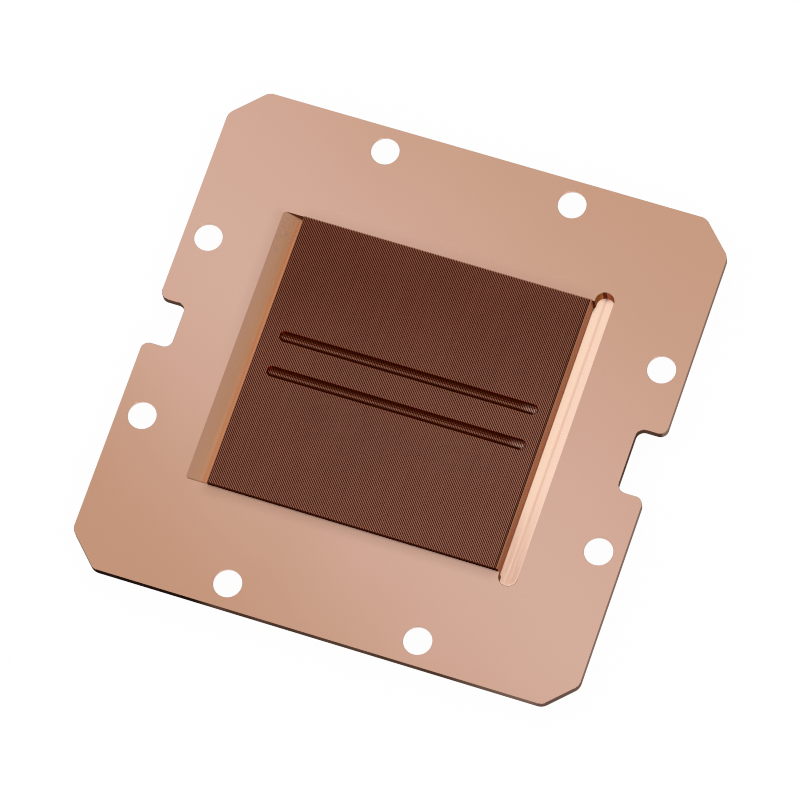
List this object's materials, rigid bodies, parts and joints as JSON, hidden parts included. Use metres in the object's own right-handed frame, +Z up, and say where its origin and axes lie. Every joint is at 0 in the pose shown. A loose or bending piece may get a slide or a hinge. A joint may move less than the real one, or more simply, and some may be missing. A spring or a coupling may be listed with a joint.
{
  "type": "water block cold plate",
  "caption": "Square copper cold plate of a processor water block: skived micro-fins in a pocket, flow grooves, an end slot, screw holes and locating notches.",
  "frame": {"origin": "middle of the contact face on the underside, below the middle of the plate", "axes": "+Z up through the plate to the fin tops, +Y along the fins, +X across the fins, from the ramp to the milled end slot"},
  "size_m": [0.062, 0.062, 0.0036],
  "materials": {
    "copper": "satin"
  },
  "bodies": {
    "root": {"cold_plate": "copper"}
  },
  "joints": []
}
